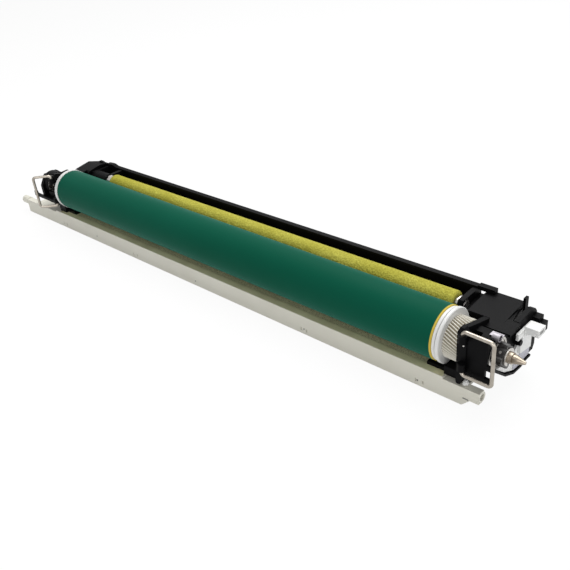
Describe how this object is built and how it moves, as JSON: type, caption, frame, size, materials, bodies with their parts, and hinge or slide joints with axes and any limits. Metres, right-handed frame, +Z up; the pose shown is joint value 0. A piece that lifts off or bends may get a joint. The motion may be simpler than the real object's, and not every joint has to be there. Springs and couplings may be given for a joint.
{
  "type": "printer drum unit",
  "caption": "Long copier drum unit: green coated drum with helical gear, two end frames with wire bails, charger case below and cleaner trough behind.",
  "frame": {"origin": "centre of the drum shaft's front end face, on the drum axis", "axes": "+X along the drum axis towards the drive coupling, +Y from the drum towards the cleaner, +Z up"},
  "size_m": [0.455, 0.0639, 0.0469],
  "materials": {
    "drum_coating": "gloss",
    "white_moulding": "satin",
    "shaft_steel": "satin",
    "coupling_plastic": "satin",
    "bail_wire": "satin",
    "ivory_plastic": "satin",
    "sheet_steel": "satin",
    "black_plastic": "satin",
    "yellow_foam": "matte",
    "grey_plastic": "satin",
    "blade_rubber": "matte"
  },
  "bodies": {
    "unit": {"front_frame": "black_plastic", "drive_frame": "black_plastic", "front_bearing": "shaft_steel", "drive_bearing": "shaft_steel", "charger_case": "ivory_plastic", "charger_shield": "sheet_steel", "charger_electrode": "sheet_steel", "charger_grid": "sheet_steel", "front_end_block": "black_plastic", "drive_end_block": "black_plastic", "charger_terminal": "white_moulding", "cleaner_housing": "black_plastic", "front_gear_cover": "black_plastic", "drive_end_cover": "black_plastic", "rear_end_plate": "black_plastic", "end_plate": "white_moulding", "front_bush": "shaft_steel", "drive_bush": "shaft_steel", "cleaning_blade": "blade_rubber", "blade_bracket": "sheet_steel", "recovery_film": "blade_rubber", "ground_spring": "shaft_steel", "connector": "white_moulding", "connector_bracket": "white_moulding"},
    "drum": {"drum_tube": "drum_coating", "front_flange": "white_moulding", "gear_flange": "white_moulding", "drum_shaft": "shaft_steel", "drive_coupling": "coupling_plastic", "coupling_pin": "shaft_steel", "shaft_clip": "shaft_steel"},
    "front_bail": {"front_bail": "bail_wire"},
    "drive_bail": {"drive_bail": "bail_wire"},
    "roller": {"foam_roller": "yellow_foam", "roller_shaft": "shaft_steel", "roller_gear": "white_moulding"},
    "idler": {"idler_gear": "white_moulding"},
    "auger": {"waste_auger": "grey_plastic", "auger_gear": "white_moulding"}
  },
  "joints": [
    {"name": "drum_spin", "type": "hinge", "parent": "unit", "child": "drum", "pos_m": [0, 0, 0], "axis": [1, 0, 0], "continuous": true},
    {"name": "roller_spin", "type": "hinge", "parent": "unit", "child": "roller", "pos_m": [0.064, 0.0214, 0.00416], "axis": [1, 0, 0], "continuous": true},
    {"name": "idler_spin", "type": "hinge", "parent": "unit", "child": "idler", "pos_m": [0.0325, 0.0257, -0.00704], "axis": [1, 0, 0], "continuous": true},
    {"name": "auger_spin", "type": "hinge", "parent": "unit", "child": "auger", "pos_m": [0.0325, 0.03, -0.01825], "axis": [1, 0, 0], "continuous": true},
    {"name": "front_bail_swing", "type": "hinge", "parent": "unit", "child": "front_bail", "pos_m": [0.0301, -0.0139, 0], "axis": [0, 0, 1], "range_deg": [-47, 60]},
    {"name": "drive_bail_swing", "type": "hinge", "parent": "unit", "child": "drive_bail", "pos_m": [0.3947, -0.014, 0], "axis": [0, 0, 1], "range_deg": [-110, 2]}
  ],
  "couplings": [
    {"joint": "idler_spin", "follows": "roller_spin", "ratio": -0.5},
    {"joint": "auger_spin", "follows": "roller_spin", "ratio": 1}
  ]
}
